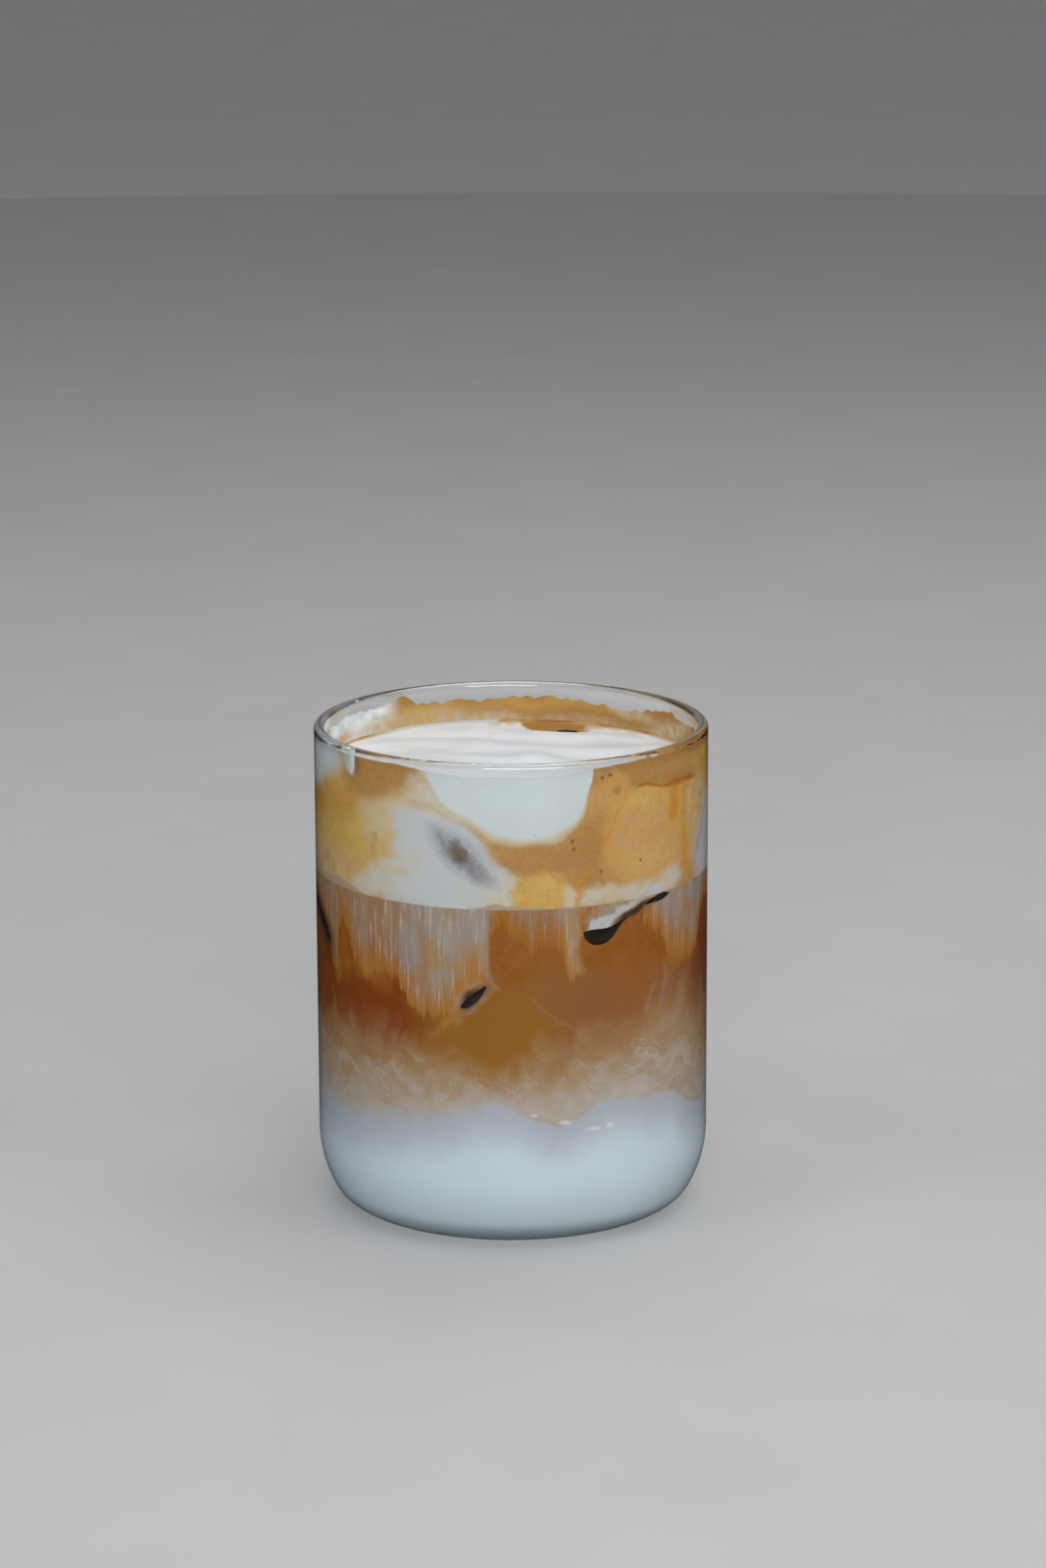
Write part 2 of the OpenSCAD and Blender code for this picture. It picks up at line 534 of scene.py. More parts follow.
@dataclass(frozen=True)
class FoamLook:
    """Milk foam with caramel-coloured crema drawn through it, white and folded on top."""

    name: str = "foam_and_crema"
    top_from: float = 36.6
    pulled: bool = True

    TONGUE: ClassVar[tuple[Point, Point]] = ((8.8, 36.4), (6.8, 7.4))
    TONGUE_LEAN: ClassVar[float] = 0.4

    def side(self, wall: Wall) -> Socket:
        """The colour where the foam lies against the glass.

        Args:
            wall: the places on the wall.

        Returns:
            The colour.
        """
        tree = wall.tree
        clouds = tree.cloud(wall.place, 7.0, 4.0, 0.6)
        colour = tree.mix(clouds.ease(0.38, 0.62), Tone.CARAMEL, Tone.TAN)
        marks = (*self.left_marks(), *self.right_marks(), *self.white_marks(), *self.middle_marks(),
                 *self.veins(), *self.ice_marks(), *self.base_marks())
        return self._grain(wall, wall.lay(colour, marks))

    @staticmethod
    def left_marks() -> list[Mark]:
        """Gold and ochre on the left, and the pale field beside them."""
        return [
            Patch((-44, 81), (21, 13), Tone.HONEY, Tone.GOLD, soft=0.35),
            Patch((-46, 87.4), (14, 3.2), Tone.OCHRE, Tone.GOLD, tilt=5, soft=0.7, grain=3.0),
            Patch((-54, 87.2), (5, 2.6), Tone.TOFFEE, Tone.ORANGE, soft=0.7, strength=0.7, ragged=True),
            Patch((-36, 89.6), (6, 2.0), Tone.OCHRE, Tone.TAN, tilt=22, soft=0.8, ragged=True),
            Patch((-48, 74.5), (15, 4.2), Tone.SAND, Tone.TAN, soft=0.7, strength=0.85),
            Patch((-42, 83), (14, 8), Tone.OCHRE, soft=0.5, strength=0.5, cracks=True),
            Patch((-25, 88), (6.5, 7), Tone.SAND, Tone.CREAM, soft=0.7),
            Patch((-31, 94), (7, 3.4), Tone.CARAMEL, Tone.TOFFEE, soft=0.6),
            Patch((-24, 96.6), (11.5, 2.5), Tone.TOFFEE, Tone.CARAMEL, tilt=5, soft=0.5, ragged=True),
            Patch((-52, 95.4), (12, 5.2), Tone.FOAM_WHITE, tilt=14, soft=0.4),
            Patch((-37, 96.6), (1.9, 2.4), Tone.FOAM_WHITE, soft=0.4),
            Patch((-16, 82.5), (8, 9.5), Tone.COOL_CREAM, Tone.HALO, tilt=24, soft=0.3, ragged=True),
            Patch((-14, 74.5), (15, 6), Tone.COOL_CREAM, Tone.HALO, soft=0.35, ragged=True),
            Patch((-28, 75), (9.5, 2.6), Tone.COOL_CREAM, Tone.CREAM, tilt=30, soft=0.5, ragged=True),
            Patch((-14, 91.8), (7, 3), Tone.CREAM, Tone.COOL_CREAM, tilt=-30, soft=0.5, ragged=True),
        ]

    @staticmethod
    def right_marks() -> list[Mark]:
        """The mottled gold field on the right, under a toffee band."""
        return [
            Patch((35, 83), (17, 11), Tone.HONEY_TAN, Tone.TAN, soft=0.2, ragged=True, grain=3.4),
            Patch((28, 83), (6.5, 4.2), Tone.ROSE_TAN, Tone.TAN, soft=0.8, strength=0.8, ragged=True),
            Patch((28, 90.4), (8, 1.8), Tone.HONEY, Tone.HONEY_TAN, soft=0.8, strength=0.8, ragged=True),
            Patch((31, 78), (9, 2.6), Tone.HONEY, Tone.TAN, tilt=-6, soft=0.8, strength=0.6, ragged=True),
            Patch((34, 83), (13, 9), Tone.SAND, Tone.HONEY, soft=0.5, strength=0.3, ragged=True, grain=1.7),
            Patch((33, 83), (14, 9.5), Tone.ORANGE, soft=0.4, strength=0.6, cracks=True),
            Patch((41, 87.5), (4.4, 4.2), Tone.HONEY, Tone.ORANGE, soft=0.8, strength=0.8, ragged=True),
            Patch((37.4, 89.4), (1.5, 3.6), Tone.ORANGE, soft=0.8, strength=0.75, ragged=True),
            Patch((49, 86), (8, 8), Tone.SAND, Tone.HONEY_TAN, soft=0.6, ragged=True),
            Patch((57, 78.5), (12.5, 8.4), Tone.LILAC_FOAM, tilt=36, soft=0.35, ragged=True),
            Patch((63.4, 81), (3.4, 12), Tone.SAND, Tone.HONEY_TAN, soft=0.5, ragged=True),
            # A faint grey streak of ice in the foam: painted shade seen through the clear ice.
            Patch((49, 79.5), (5, 0.8), Tone.ICE_GREY, tilt=52, soft=0.9, strength=0.7, ragged=True),
            Shore(((-60, 100), (15, 100), (20, 99), (22.5, 94.6), (25, 93.2), (34, 92.6), (43, 92.8),
                   (50, 93.8), (60, 94.6)), Tone.TOFFEE, soft=0.35),
            Patch((47, 95.8), (13, 1.6), Tone.TAN, Tone.CARAMEL, soft=0.6, strength=0.6),
            Patch((53, 94.8), (7, 3.0), Tone.OCHRE, Tone.HONEY, soft=0.7, strength=0.75),
            Patch((24, 71.9), (12.5, 1.9), Tone.CREAM, Tone.COOL_CREAM, soft=0.75, strength=0.9, ragged=True),
            Patch((36.2, 72.8), (2.8, 2.1), Tone.COOL_CREAM, Tone.CREAM, soft=0.75, ragged=True),
            Patch((31.4, 71.6), (1.6, 1.1), Tone.HALO, soft=0.5),
        ]

    @staticmethod
    def white_marks() -> list[Mark]:
        """The white tongue of foam in the middle, with its creamy fringe."""
        edge = ((-60, 100), (-21, 100), (-17, 97), (-14.5, 93), (-11, 90.2), (-8, 87.8), (-5, 85.8),
                (-1, 84.7), (3, 84.4), (8, 84.9), (11, 86), (13, 87.8), (14.8, 90.4), (15.9, 94),
                (16.8, 100), (60, 100))
        return [Shore(edge, Tone.CREAM, soft=1.0, lift=-0.8, strength=0.9),
                Shore(edge, Tone.FOAM_WHITE, soft=0.85, lift=0.5)]

    @staticmethod
    def middle_marks() -> list[Mark]:
        """Caramel and gold under the white, and the ring beside it."""
        return [
            Patch((6.5, 81.2), (8.8, 2.9), Tone.CARAMEL, soft=0.28),
            Patch((14.6, 82.4), (3.4, 5.2), Tone.CARAMEL, Tone.TOFFEE, tilt=-24, soft=0.35),
            Patch((20.8, 93), (3.0, 3.0), Tone.HONEY_TAN, soft=0.3, strength=0.8),
            Patch((20.8, 93), (0.85, 0.85), Tone.TOFFEE, soft=0.35),
            Patch((-2.2, 74), (3.2, 4.2), Tone.CREAM, Tone.COOL_CREAM, soft=0.5, ragged=True),
            Patch((5.4, 74), (5.6, 4.2), Tone.GOLD, Tone.HONEY, soft=0.25, ragged=True, grain=2.0),
            Patch((11.3, 73), (1.2, 2.3), Tone.CREAM, soft=0.5),
        ]

    @staticmethod
    def veins() -> list[Mark]:
        """The thin lines of crema, and a few bubbles."""
        bubbles = ((12.1, 83.8), (12.4, 82.5), (28, 78.7), (17.5, 76.9), (18, 95.5), (19.6, 95.8))
        return [
            Vein(((-20, 91.8), (-15, 90.4), (-12, 88.6), (-9, 86.6), (-6.5, 84.6), (-4, 83.0), (0, 82)),
                 1.6, Tone.TAN, 0.5),
            Vein(((26, 92.9), (30, 92.9), (34, 92.3), (37, 92.3), (41, 92.5), (46, 92.8)), 0.6, Tone.RUST, 0.9, False, 1.0, False),
            Vein(((35, 92.3), (38, 92.3), (44, 92.5)), 1.1, Tone.RUST, 1.0, False, 1.0, False),
            Vein(((25.4, 92.8), (23.8, 91.4), (22.7, 89.5), (21.3, 87.5), (20.5, 85), (19.6, 83.4), (19.2, 81)),
                 0.9, Tone.ORANGE, 0.9, True),
            Vein(((20.5, 86), (19.4, 83.2), (19.3, 80.6)), 2.2, Tone.ORANGE, 0.5, True),
            Vein(((16.4, 77.8), (14.4, 76.9), (13.1, 75), (12.8, 73), (12.7, 70)), 1.1, Tone.ORANGE, 0.85, True),
            Vein(((1.3, 78.5), (2.2, 76), (2.6, 73), (2.9, 70)), 0.9, Tone.ORANGE, 0.5, True),
            Vein(((37, 92.4), (37.2, 88), (37.0, 84)), 2.4, Tone.ORANGE, 0.9, True),
            Vein(((41.6, 92), (41.2, 85), (40.8, 78), (41, 70)), 2.4, Tone.ORANGE, 0.7, True),
            Vein(((-28.2, 84), (-28.8, 81.5), (-28.4, 78.6)), 1.1, Tone.TAN, 0.7, True),
            Vein(((-26.6, 81.6), (-26.4, 79.6), (-25.0, 79.2)), 1.0, Tone.TAN, 0.5, True),
            Vein(((-33, 89.6), (-36, 88.4), (-38.5, 87.8)), 0.6, Tone.ORANGE, 0.6),
            *(Patch(at, (0.32, 0.32), Tone.BUBBLE, soft=0.5, strength=0.85) for at in bubbles),
        ]

    @staticmethod
    def ice_marks() -> list[Mark]:
        """A cube of ice that shows dimly through the foam, with its bluish halo; its grey and dark core are painted
        shade, the dim inside of the drink seen through the clear ice.
        """
        return [
            Patch((-10, 81.7), (9.6, 4.4), Tone.HALO, tilt=-42, soft=0.35),
            # The grey body and dark core of the ice are painted shade.
            Patch((-10, 81.3), (7.6, 3.2), Tone.ICE_GREY, Tone.HALO, -41, 0.4, 0.9, False, 0.8),
            Patch((-9.2, 80.7), (5.8, 1.7), Tone.ICE_CORE, Tone.ICE_GREY, -42, 0.7, 0.85, True, 0.5),
            Patch((-10.3, 81.9), (1.9, 1.3), Tone.ICE_CORE, Tone.BUBBLE, -46, 0.6, 0.9, True, 0.4),
        ]

    @staticmethod
    def base_marks() -> list[Mark]:
        """Coffee that laps a little way up the foam."""
        lap = ((-60, 71.8), (-46, 72.2), (-38, 71.4), (-34, 70.2), (-5, 70.2), (-3, 71), (9, 71),
               (11, 70.1), (60, 70.1))
        return [Shore(lap, Tone.CLOUD_PALE, soft=0.3, below=True)]

    @staticmethod
    def _grain(wall: Wall, colour: Socket) -> Socket:
        """Fine bubbles: a faint grain and a few dark specks."""
        tree = wall.tree
        cells = tree.add("ShaderNodeTexVoronoi", None, {"Vector": wall.place, "Scale": 0.42})
        size = tree.parts(cells.outputs["Color"])[0]
        speck = Value(tree, cells.outputs["Distance"]).ease(0.11, 0.04) * size.ease(0.78, 0.84)
        colour = tree.mix(speck * 0.5, colour, Tone.TOFFEE)
        grain = tree.cloud(wall.place, 0.7, 2.0).ease(0.3, 0.7) * 0.10
        return tree.mix(grain, colour, Tone.CREAM)

    def top(self, wall: Wall) -> Socket:
        """The colour of the foam's open surface, with painted shade along its folds.

        Args:
            wall: the places on the wall.

        Returns:
            The colour.
        """
        tree = wall.tree
        # Cool cream streaks stretched along the folds over the white: painted shade of the foam's ripples.
        stretched = tree.scaled(wall.place, (0.4, 1.0, 0.0))
        drift = tree.cloud(stretched, 6.0, 2.0, 0.4)
        colour = tree.mix(drift.ease(0.4, 0.7) * 0.4, Tone.TOP_WHITE, Tone.COOL_CREAM)
        ragged = (tree.cloud(wall.place, 3.0, 3.0) - 0.5) * 5.0
        shore = wall.from_axis + ragged
        colour = tree.mix(shore.ease(35.5, 37.6) * wall.y.ease(20.0, 34.0) * wall.x.ease(-14.0, 0.0) * 0.6, colour,
                          Tone.TAN)
        (across, back), (wide, deep) = self.TONGUE
        ahead = wall.y - back
        aside = (wall.x - across + ahead * self.TONGUE_LEAN + ragged * 0.8) / wide
        off = (aside * aside + (ahead / deep) ** 2.0) ** 0.5
        return tree.mix(off.ease(1.15, 0.85), colour, Tone.CARAMEL)

    def material(self, radius: float) -> bpy.types.Material:
        """Builds the foam's material.

        Args:
            radius: the drink's radius, in mm.

        Returns:
            The material.
        """
        tree = Tree(self.name)
        wall = Wall(tree, radius, self.pulled)
        at_wall = wall.from_axis.ease(self.top_from, self.top_from + 0.8)
        colour = tree.mix(at_wall, self.top(wall), self.side(wall))
        froth = tree.cloud(wall.place, 0.5, 3.0)
        bump = tree.add("ShaderNodeBump", None, {"Height": froth, "Strength": 0.12, "Distance": 0.0002})
        tree.surface({"Base Color": colour, "Roughness": 0.5, "Specular IOR Level": 0.25,
                      "Normal": bump.outputs[0]})
        return tree.material


@dataclass(frozen=True)
class FilmLook(FoamLook):
    """The film that clings to the wall above the foam: as below it in front, crema at the back."""

    name: str = "crema_on_glass"
    top_from: float = 30.0
    pulled: bool = False

    @staticmethod
    def back_marks() -> list[Mark]:
        """White on the left of the back wall, and cream low down and on the right."""
        return [
            Patch((0, 91.6), (24, 1.6), Tone.CREAM, Tone.ROSE_TAN, soft=0.7, strength=0.8, ragged=True),
            Patch((-41, 95), (13, 7), Tone.TOP_WHITE, Tone.FOAM_WHITE, tilt=6, soft=0.25),
            Patch((-46, 92.6), (4, 1.4), Tone.ORANGE, soft=0.8, strength=0.7, ragged=True),
            Patch((40, 93), (9, 2.0), Tone.CREAM, Tone.ROSE_TAN, 14, 0.7, 0.9, True, 2.0),
            Patch((28, 95.4), (6, 1.2), Tone.CREAM, Tone.TAN, -6, 0.8, 0.7, True, 2.0),
            Patch((-24, 93.4), (14, 1.8), Tone.CREAM, Tone.HONEY_TAN, soft=0.8, strength=0.8, ragged=True),
            Patch((8, 95.4), (12, 1.3), Tone.HONEY, Tone.TAN, soft=0.8, strength=0.4, ragged=True),
            Patch((-20, 95.6), (9, 0.9), Tone.GOLD, soft=0.8, strength=0.6, ragged=True),
        ]

    def side(self, wall: Wall) -> Socket:
        """The film's colour.

        Args:
            wall: the places on the wall.

        Returns:
            The colour.
        """
        tree = wall.tree
        mottle = tree.cloud(tree.scaled(wall.place, (1.0, 1.0, 1.8)), 5.0, 4.0, 0.8)
        back = wall.lay(tree.mix(mottle.ease(0.36, 0.58), Tone.CARAMEL, Tone.TOFFEE), self.back_marks())
        return tree.mix(wall.y.ease(-9.0, 3.0), super().side(wall), back)


@dataclass(frozen=True)
class LatteLook:
    """Coffee under a curtain of falling milk, marbled into the milk at the bottom."""

    name: str
    foam_base: float

    CURTAIN: ClassVar[tuple[Point, ...]] = (
        (-60, 4), (-54, 5.5), (-49, 9), (-45.5, 13), (-44.2, 17), (-43, 20), (-42, 19), (-41.4, 9),
        (-40, 7.5), (-37.6, 8.5), (-36.4, 12.5), (-34, 14.5), (-31, 17), (-28, 15.5), (-25.6, 16), (-23.4, 17), (-21.8, 20),
        (-20, 22), (-16, 23), (-12.5, 22), (-10, 18.5), (-7, 15.5), (-4.6, 14.5), (-3.8, 5), (-1, 4),
        (1.5, 6.5), (3.6, 10), (5, 8), (8, 8.5), (10.2, 9.5), (11.2, 14), (12.7, 14.5), (13.6, 8),
        (14.4, 5), (20, 5), (24, 4), (27.5, 4.5), (30, 7), (33, 9), (35.2, 12.5), (38, 14.2),
        (44, 15), (46.6, 14), (48.4, 11.5), (51, 6.5), (60, 7))
    THICKNESS: ClassVar[tuple[Point, ...]] = (
        (-60, 88), (-44, 88), (-41, 84), (-38, 84), (-33, 90), (-14, 97), (-6, 97), (-3.8, 46), (3, 42),
        (9, 54), (11.4, 94), (14, 84), (26, 86), (30, 97), (46, 99), (60, 97))
    MILK_EDGE: ClassVar[tuple[Point, ...]] = (
        (-60, 24.4), (-45, 24), (-35, 24), (-25, 25.2), (-17, 26.4), (-12, 27.6), (-8, 29), (-3, 30.2),
        (0, 29.5), (3, 28), (8, 26), (12, 26.5), (15, 28.3), (20, 29.8), (25, 29.8), (28, 28.6),
        (33, 28.5), (37, 28), (40, 26), (44, 24), (48, 23), (60, 23.5))
    CLOUD_EDGE: ClassVar[tuple[Point, ...]] = (
        (-60, 42), (-45, 43.5), (-30, 44), (-20, 43.5), (-12, 41), (-4, 38.5), (5, 41), (14, 44), (22, 46),
        (32, 49), (40, 50), (46, 48), (52, 45), (60, 44))

    def coffee(self, wall: Wall) -> Socket:
        """The clear coffee, darker and redder to the left."""
        tree = wall.tree
        drift = wall.calm_across + (tree.cloud(wall.place, 12.0, 3.0, 0.6) - 0.5) * 16.0
        stops = [(0.0, Tone.DARK_BROWN), (0.14, Tone.RED_BROWN), (0.3, Tone.RED_BROWN), (0.38, Tone.AMBER),
                 (0.5, Tone.AMBER), (0.62, Tone.MAUVE), (0.78, Tone.BROWN), (0.9, Tone.PLUM)]
        share = (drift + wall.HALF_SPAN) / (2 * wall.HALF_SPAN)
        colour = tree.add("ShaderNodeValToRGB", {"stops": stops}, {"Fac": share}).outputs[0]
        return wall.lay(colour, [
            Patch((-2, 60), (7, 8), Tone.COPPER, Tone.BROWN, soft=0.6, ragged=True),
            Patch((22, 62), (15, 6), Tone.COPPER, Tone.BROWN, tilt=-8, soft=0.5, ragged=True),
            Patch((-2, 46), (11, 8.5), Tone.AMBER, soft=0.6),
            Patch((-30, 47.5), (8, 3), Tone.RED_BROWN, soft=0.7),
            Patch((-39.2, 58), (2.2, 7), Tone.COPPER, soft=0.6),
            Patch((-39, 58), (1.7, 5.0), Tone.RUST, soft=0.7, strength=0.6),
            Patch((-31, 55), (6.0, 2.2), Tone.VEIL_GOLD, Tone.RUST, soft=0.8, strength=0.5, ragged=True),
            Vein(((-44.6, 63), (-43.2, 59), (-42.2, 55), (-41.8, 50)), 1.9, Tone.VEIL_GOLD, 0.7, True),
            Patch((41, 56.4), (5.6, 2.0), Tone.VEIL_GOLD, Tone.ORANGE, soft=0.6, strength=0.6, ragged=True),
            Vein(((11.2, 69), (11.6, 64), (12.2, 60), (13.2, 56.6)), 2.6, Tone.SAND, 0.45, True, 1.0, False),
            Patch((14, 50), (9, 5), Tone.MAUVE, tilt=-35, soft=0.7, strength=0.8),
            Patch((36, 49), (10, 6), Tone.MAUVE, soft=0.7, strength=0.7),
            Patch((51, 58), (3.6, 6), Tone.RED_BROWN, soft=0.5, strength=0.9),
            Patch((51, 47), (7, 7), Tone.PLUM, soft=0.6, strength=0.9),
            Vein(((3, 54), (6, 49.5), (9, 46.4), (13, 44.6)), 1.2, Tone.VEIL, 0.14),
            Vein(((33.8, 57), (33.4, 52), (32.2, 46)), 1.0, Tone.VEIL, 0.3, True),
            Vein(((31.4, 55), (30.6, 50), (29, 45)), 0.8, Tone.VEIL, 0.2, True),
        ])

    def curtain(self, wall: Wall, under: Socket) -> Socket:
        """Fine streaks of milk that fall from the foam, with golden tips.

        Args:
            wall: the places on the wall.
            under: the coffee's colour.

        Returns:
            The colour with the curtain on it.
        """
        tree = wall.tree
        threads = tree.scaled(wall.place, (1.0, 1.0, 0.07))
        fine = tree.cloud(threads, 0.5, 3.0, 0.3, 0.65)
        broad = tree.cloud(threads, 2.6, 2.0)
        lines = fine.ease(0.3, 0.62) * 0.35 + broad.ease(0.3, 0.6) * 0.65
        wander = (wall.across + wall.calm_across) * 0.5
        reach = wall.curve(self.CURTAIN, wander)
        spare = reach + (fine - 0.5) * 8.0 + (broad - 0.5) * 6.0 - self.foam_base + wall.up
        thick = wall.curve(self.THICKNESS, wander) / wall.TALL
        present = spare.ease(-0.3, 1.0) * thick
        grey = tree.cloud(wall.place, 7.0, 2.0).ease(0.35, 0.6)
        cool = wander.ease(-30.0, -20.0) * 0.75 + 0.25
        veil = tree.mix(grey * cool, Tone.WARM_VEIL, Tone.VEIL)
        veil = tree.mix(spare.ease(8.5, 1.5) * 0.95, veil, Tone.VEIL_GOLD)
        colour = tree.mix(present * (lines * 0.38 + 0.62), under, veil)
        bright = fine.ease(0.55, 0.68) * present * spare.ease(0.6, 7.0)
        return tree.mix(bright * 0.62, colour, Tone.WISP)

    def marbling(self, wall: Wall, under: Socket) -> Socket:
        """Coffee clouding into milk, with drawn-out wisps.

        Args:
            wall: the places on the wall.
            under: the colour above.

        Returns:
            The colour with the clouds on it.
        """
        tree = wall.tree
        high, low = wall.curve(self.CLOUD_EDGE, wall.across), wall.curve(self.MILK_EDGE, wall.across)
        billow = (tree.cloud(wall.place, 8.0, 4.0, 1.2) - 0.5) * 15.0
        share = (high - wall.up + billow) / (high - low)
        stops = [(0.0, Tone.CLOUD_TAN), (0.3, Tone.CLOUD_TAN), (0.62, Tone.CLOUD_PALE), (0.95, Tone.CLOUD_GREY)]
        cloud = tree.add("ShaderNodeValToRGB", {"stops": stops}, {"Fac": share}).outputs[0]
        colour = tree.mix(share.ease(-0.25, 0.4) * 0.92, under, cloud)
        blots = tree.noise(wall.place, 13.0, 2.0).outputs[1]
        centred = tree.vector("SUBTRACT", blots, (0.5, 0.5, 0.5)).outputs[0]
        swept = tree.vector("ADD", wall.place, tree.scaled(centred, (26.0, 26.0, 22.0))).outputs[0]
        drawn = tree.scaled(swept, (0.55, 0.55, 1.6))
        flow = tree.cloud(drawn, 7.0, 3.0, 0.4, 0.5)
        shown = share.ease(0.0, 0.5)
        colour = tree.mix(flow.ease(0.5, 0.7) * shown * 0.4, colour, Tone.WISP)
        colour = tree.mix(flow.ease(0.5, 0.32) * shown * 0.35, colour, Tone.CLOUD_TAN)
        line = 1 - abs(tree.cloud(drawn, 5.0, 2.0, 0.6) - 0.5) * 2
        gaps = tree.cloud(wall.place, 9.0, 1.0).ease(0.42, 0.6)
        return tree.mix((line ** 30.0) * gaps * shown * 0.5, colour, Tone.WISP)

    def milk(self, wall: Wall, under: Socket) -> Socket:
        """The milk at the bottom, lilac where coffee tints it, soft-edged to the left, with a few painted highlights.

        Args:
            wall: the places on the wall.
            under: the colour above.

        Returns:
            The colour with the milk under it.
        """
        tree = wall.tree
        lap = (tree.cloud(wall.place, 4.0, 3.0, 0.8) - 0.5) * 3.4
        depth = wall.curve(self.MILK_EDGE, wall.across) - wall.up + lap
        sharp = wall.across.ease(-14.0, 12.0)
        share = depth.ease(-3.4, 1.6) * (1 - sharp) + depth.ease(-0.9, 0.5) * sharp
        colour = tree.mix(share, under, Tone.LILAC_MILK)
        colour = tree.mix(depth.ease(0.5, 11.5), colour, Tone.MILK)
        # Small white specks just below the milk's edge on the right are painted highlights.
        return wall.lay(colour, [
            Patch(at, half, Tone.TOP_WHITE, soft=0.6, strength=0.4)
            for at, half in (((15.8, 25.0), (1.4, 0.4)), ((20.2, 24.8), (1.0, 0.5)), ((10.4, 26.9), (1.2, 0.5)),
                             ((4.6, 27.8), (0.7, 0.35)))])

    @staticmethod
    def ice_shadows() -> list[Mark]:
        """Frost and halos round the ice that lies against the glass, with painted shade: the dark ice seen against the
        unlit drink, and soft painted shadow under the ice on the right.
        """
        return [
            Vein(((-5.4, 68), (-5.2, 62), (-5.0, 58.5), (-4.2, 56.2), (-2.4, 54.2)), 1.0, Tone.VEIL, 0.4,
                 True, 1.0, False),
            Patch((-8, 51.8), (5.0, 2.0), Tone.VEIL_GOLD, Tone.VEIL, 42, 0.5, 0.8, True, 2.0),
            Patch((-12.6, 47.8), (3.4, 0.7), Tone.VEIL_GOLD, tilt=42, soft=0.9, strength=0.8),
            # Painted shade: the dark core of the middle ice.
            Patch((-7.4, 52.2), (3.4, 1.3), Tone.ICE_SHADE, tilt=44, soft=0.6),
            Patch((22, 68.8), (6.5, 1.8), Tone.WARM_VEIL, Tone.VEIL, 14, 0.5, 0.85, True, 2.0),
            Patch((18.6, 66.5), (4.0, 1.15), Tone.HALO, Tone.FROST, 10, 0.35, 1.0, True, 1.0),
            Patch((23.8, 68.9), (3.6, 0.7), Tone.FROST, Tone.HALO, 22, 0.5, 0.9, True, 1.2),
            Patch((29.4, 70.3), (4.0, 0.5), Tone.FROST, tilt=12, soft=0.6, strength=0.6),
            # Painted shadow under the dark line of the right ice, then that dark line, painted shade through the ice.
            Patch((26.6, 67.3), (5.6, 1.1), Tone.DARK_BROWN, tilt=20, soft=0.8, strength=0.6),
            Patch((25.7, 68.0), (4.4, 0.7), Tone.ICE_SHADE, tilt=22, soft=0.5, strength=0.95),
            # Painted shadow along the lower edge of the right ice.
            Patch((17.6, 62.9), (4.2, 1.2), Tone.BROWN, tilt=10, soft=0.7, strength=0.8),
            # Painted shade round the ice on the left.
            Patch((-50.5, 61.2), (7.5, 2.4), Tone.ICE_SHADE, tilt=-36, soft=0.7, strength=0.9),
        ]

    def material(self, radius: float) -> bpy.types.Material:
        """Builds the material that the coffee and the milk share.

        Args:
            radius: the drink's radius, in mm.

        Returns:
            The material.
        """
        tree = Tree(self.name)
        wall = Wall(tree, radius)
        colour = self.curtain(wall, self.coffee(wall))
        colour = wall.lay(colour, self.ice_shadows())
        colour = self.marbling(wall, colour)
        colour = self.milk(wall, colour)
        tree.surface({"Base Color": colour, "Roughness": 0.55, "Specular IOR Level": 0.15})
        return tree.material


@dataclass(frozen=True)
class IceLook:
    """Ice that shows nearly black where it lies against the glass, with brown and blue in it. The near-black is painted
    shade: clear ice shows the unlit inside of the drink.
    """

    name: str = "ice_in_coffee"

    def material(self) -> bpy.types.Material:
        """Builds the ice's material."""
        tree = Tree(self.name)
        place = tree.scaled(tree.add("ShaderNodeTexCoord").outputs["Object"], (1 / MM, 1 / MM, 1 / MM))
        depth = tree.cloud(place, 1.6, 3.0, 0.6)
        # Near-black with brown clouds: painted shade, the unlit inside of the drink seen through clear ice.
        colour = tree.mix(depth.ease(0.5, 0.75) * 0.8, Tone.ICE_DARK, Tone.ICE_SHADE)
        tree.surface({"Base Color": colour, "Roughness": 0.25, "Specular IOR Level": 0.3})
        return tree.material


@dataclass(frozen=True)
class GlassLook:
    """Clear polished glass that lets lamplight through to the drink."""

    name: str = "clear_glass"
    index: float = 1.5

    def material(self) -> bpy.types.Material:
        """Builds the glass, whose faint waviness comes from a bump."""
        tree = Tree(self.name)
        place = tree.add("ShaderNodeTexCoord").outputs["Object"]
        wave = tree.cloud(tree.scaled(place, (1 / MM, 1 / MM, 0.4 / MM)), 26.0, 1.0)
        bump = tree.add("ShaderNodeBump", None, {"Height": wave, "Strength": 0.05, "Distance": 0.001})
        smear = tree.cloud(tree.scaled(place, (1 / MM, 1 / MM, 1 / MM)), 9.0, 3.0)
        rim = tree.parts(place)[2].ease(0.0965, 0.0985)
        glass = tree.add("ShaderNodeBsdfPrincipled", None, {
            "Base Color": (0.985, 0.995, 0.99, 1.0), "Roughness": smear.ease(0.55, 0.75) * 0.03,
            "IOR": self.index, "Transmission Weight": 1.0, "Normal": bump.outputs[0],
            "Specular Tint": (0.45, 0.45, 0.45, 1.0), "Coat Weight": rim, "Coat IOR": 1.9,
            "Coat Roughness": 0.02})
        clear = tree.add("ShaderNodeBsdfTransparent", None, {0: (0.97, 0.98, 0.98, 1.0)})
        path = tree.add("ShaderNodeLightPath")
        sockets = {0: path.outputs["Is Shadow Ray"], 1: glass.outputs[0], 2: clear.outputs[0]}
        both = tree.add("ShaderNodeMixShader", None, sockets)
        tree.add("ShaderNodeOutputMaterial", None, {"Surface": both.outputs[0]})
        return tree.material


